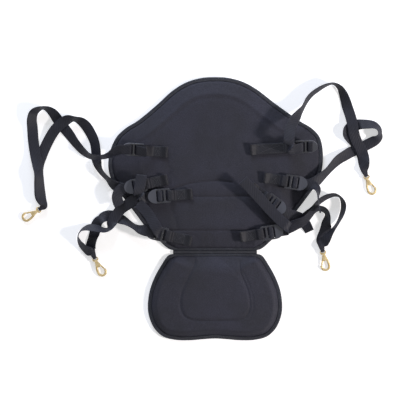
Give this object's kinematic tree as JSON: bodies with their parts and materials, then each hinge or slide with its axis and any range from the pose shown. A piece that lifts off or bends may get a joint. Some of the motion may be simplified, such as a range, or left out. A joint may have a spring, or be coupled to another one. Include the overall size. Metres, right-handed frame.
{
  "type": "kayak seat",
  "caption": "Moulded foam kayak seat with a folding backrest, bound edges, adjustable webbing bridle straps, ladder-lock buckles and brass snap hooks.",
  "frame": {"origin": "middle of the base rectangle of the opened seat, on the surface that it lies on", "axes": "+X across the seat, +Y from the seat pad up the backrest, +Z away from the surface, out of the side that carries the straps"},
  "size_m": [0.8487, 0.6187, 0.0625],
  "materials": {
    "foam_fabric": "woven nylon over moulded closed-cell foam",
    "tape": "woven binding tape",
    "webbing": "ribbed polypropylene webbing",
    "buckle_plastic": "moulded acetal",
    "brass": "cast, lightly polished",
    "steel": "plain"
  },
  "bodies": {
    "seat_pad": {"seat_pad_panel": "foam_fabric", "seat_pad_binding": "tape", "hinge_strip": "tape"},
    "backrest": {"backrest_panel": "foam_fabric", "backrest_binding": "tape", "tab_left_top": "webbing", "tab_left_outer": "webbing", "tab_left_inner": "webbing", "tab_left_bottom": "webbing", "tab_right_top": "webbing", "tab_right_outer": "webbing", "tab_right_inner": "webbing", "tab_right_bottom": "webbing", "ladder_lock_left_top": "buckle_plastic", "ladder_lock_left_outer": "buckle_plastic", "ladder_lock_left_inner": "buckle_plastic", "ladder_lock_left_bottom": "buckle_plastic", "ladder_lock_right_top": "buckle_plastic", "ladder_lock_right_outer": "buckle_plastic", "ladder_lock_right_inner": "buckle_plastic", "ladder_lock_right_bottom": "buckle_plastic", "strap_left_upper": "webbing", "strap_left_lower": "webbing", "strap_right_upper": "webbing", "strap_right_lower": "webbing", "hook_body_left_upper": "brass", "hook_body_left_lower": "brass", "hook_body_right_upper": "brass", "hook_body_right_lower": "brass", "hook_pin_left_upper": "steel", "hook_pin_left_lower": "steel", "hook_pin_right_upper": "steel", "hook_pin_right_lower": "steel"},
    "gate_left_upper": {"hook_gate_left_upper": "brass"},
    "gate_left_lower": {"hook_gate_left_lower": "brass"},
    "gate_right_upper": {"hook_gate_right_upper": "brass"},
    "gate_right_lower": {"hook_gate_right_lower": "brass"}
  },
  "joints": [
    {"name": "backrest_fold", "type": "hinge", "parent": "seat_pad", "child": "backrest", "pos_m": [0, -0.10175, 0.0006], "axis": [1, 0, 0], "range_deg": [-150, 60]},
    {"name": "gate_swing_left_upper", "type": "hinge", "parent": "backrest", "child": "gate_left_upper", "pos_m": [-0.42599, -0.00699, 0.00531], "axis": [-0.0625, -0.0398, 0.9972], "range_deg": [0, 32], "stiffness_Nm_per_rad": 0.02, "springref_deg": -17.19},
    {"name": "gate_swing_left_lower", "type": "hinge", "parent": "backrest", "child": "gate_left_lower", "pos_m": [-0.27359, -0.1285, 0.00531], "axis": [-0.0313, 0.0672, -0.9972], "range_deg": [0, 32], "stiffness_Nm_per_rad": 0.02, "springref_deg": -17.19},
    {"name": "gate_swing_right_upper", "type": "hinge", "parent": "backrest", "child": "gate_right_upper", "pos_m": [0.36254, 0.06389, 0.00531], "axis": [-0.0254, 0.0697, -0.9972], "range_deg": [0, 32], "stiffness_Nm_per_rad": 0.02, "springref_deg": -17.19},
    {"name": "gate_swing_right_lower", "type": "hinge", "parent": "backrest", "child": "gate_right_lower", "pos_m": [0.25376, -0.115, 0.00531], "axis": [0.0167, -0.0723, 0.9972], "range_deg": [0, 32], "stiffness_Nm_per_rad": 0.02, "springref_deg": -17.19}
  ]
}
